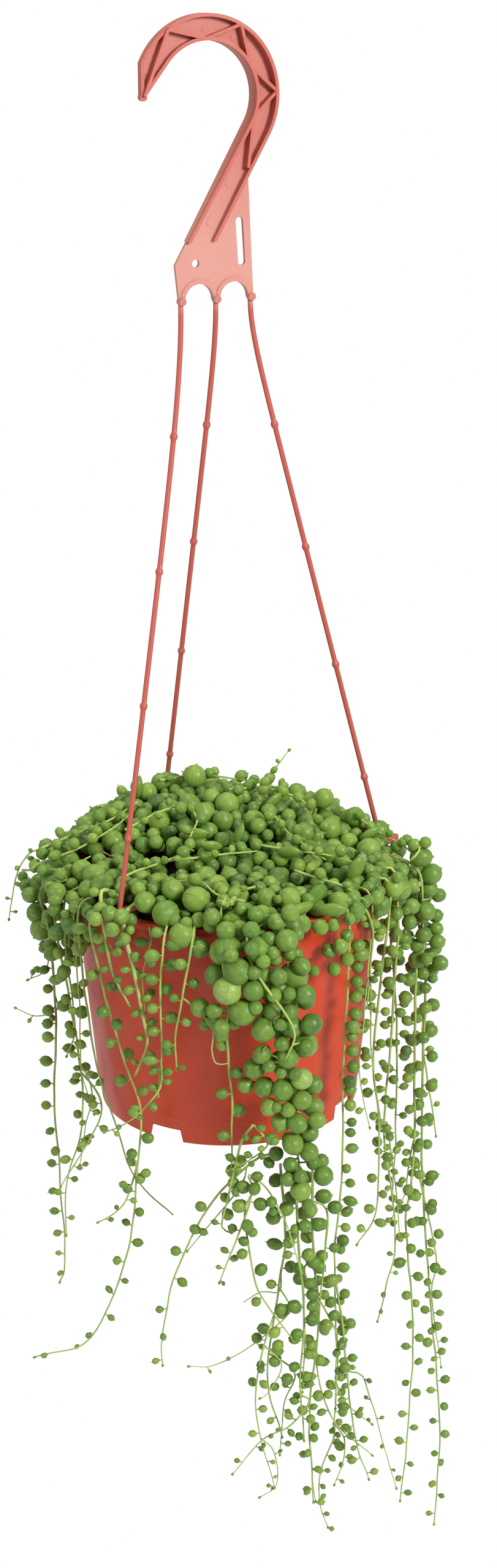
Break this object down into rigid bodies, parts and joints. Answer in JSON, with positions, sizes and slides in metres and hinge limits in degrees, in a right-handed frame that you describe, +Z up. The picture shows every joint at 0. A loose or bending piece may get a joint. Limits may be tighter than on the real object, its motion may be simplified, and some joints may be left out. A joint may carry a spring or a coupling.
{
  "type": "potted string of pearls in a hanging pot",
  "caption": "Hanging string-of-pearls plant: tapered plastic pot with lip and notched foot, moulded hook hanger with bracing ribs, beaded crown and long trailing beaded stems.",
  "frame": {"origin": "point on the underside of the hook's crown that bears the load, in the middle of the flange's width", "axes": "+Z up along the pot's own axis, -Y towards the side with the densest fall of stems, +X to the right when looking along +Y"},
  "size_m": [0.2047, 0.1814, 0.7349],
  "materials": {
    "pot_plastic": "satin moulded polypropylene",
    "hanger_plastic": "satin moulding, thin web slightly translucent",
    "potting_mix": "dark peaty mix",
    "crown_green": "waxy succulent leaf",
    "cluster_green": "waxy succulent leaf",
    "stem_green": "thin pale green stem"
  },
  "bodies": {
    "root": {"cluster_fall": "cluster_green", "cluster_front": "cluster_green", "cluster_left": "cluster_green", "cluster_right": "cluster_green", "crown": "crown_green", "hanger_hook": "hanger_plastic", "hanger_strand_left": "hanger_plastic", "hanger_strand_middle": "hanger_plastic", "hanger_strand_right": "hanger_plastic", "pot": "pot_plastic", "potting_mix": "potting_mix", "stem_back": "stem_green", "stem_back_left": "stem_green", "stem_back_right": "stem_green", "stem_fall_left": "stem_green", "stem_fall_mid": "stem_green", "stem_front_left": "stem_green", "stem_front_loop": "stem_green", "stem_front_mid": "stem_green", "stem_front_pale": "stem_green", "stem_front_thin": "stem_green", "stem_left_edge": "stem_green", "stem_left_inner": "stem_green", "stem_left_long": "stem_green", "stem_left_loop": "stem_green", "stem_left_sweep": "stem_green", "stem_right_back": "stem_green", "stem_right_beaded": "stem_green", "stem_right_bow": "stem_green", "stem_right_curl": "stem_green", "stem_right_front": "stem_green", "stem_right_long": "stem_green", "stem_right_outer": "stem_green", "stem_right_thin": "stem_green", "stem_right_tip": "stem_green", "stem_tangle_left": "stem_green", "stem_tangle_mid": "stem_green", "stem_tangle_right": "stem_green", "stem_tangle_tip": "stem_green"}
  },
  "joints": []
}
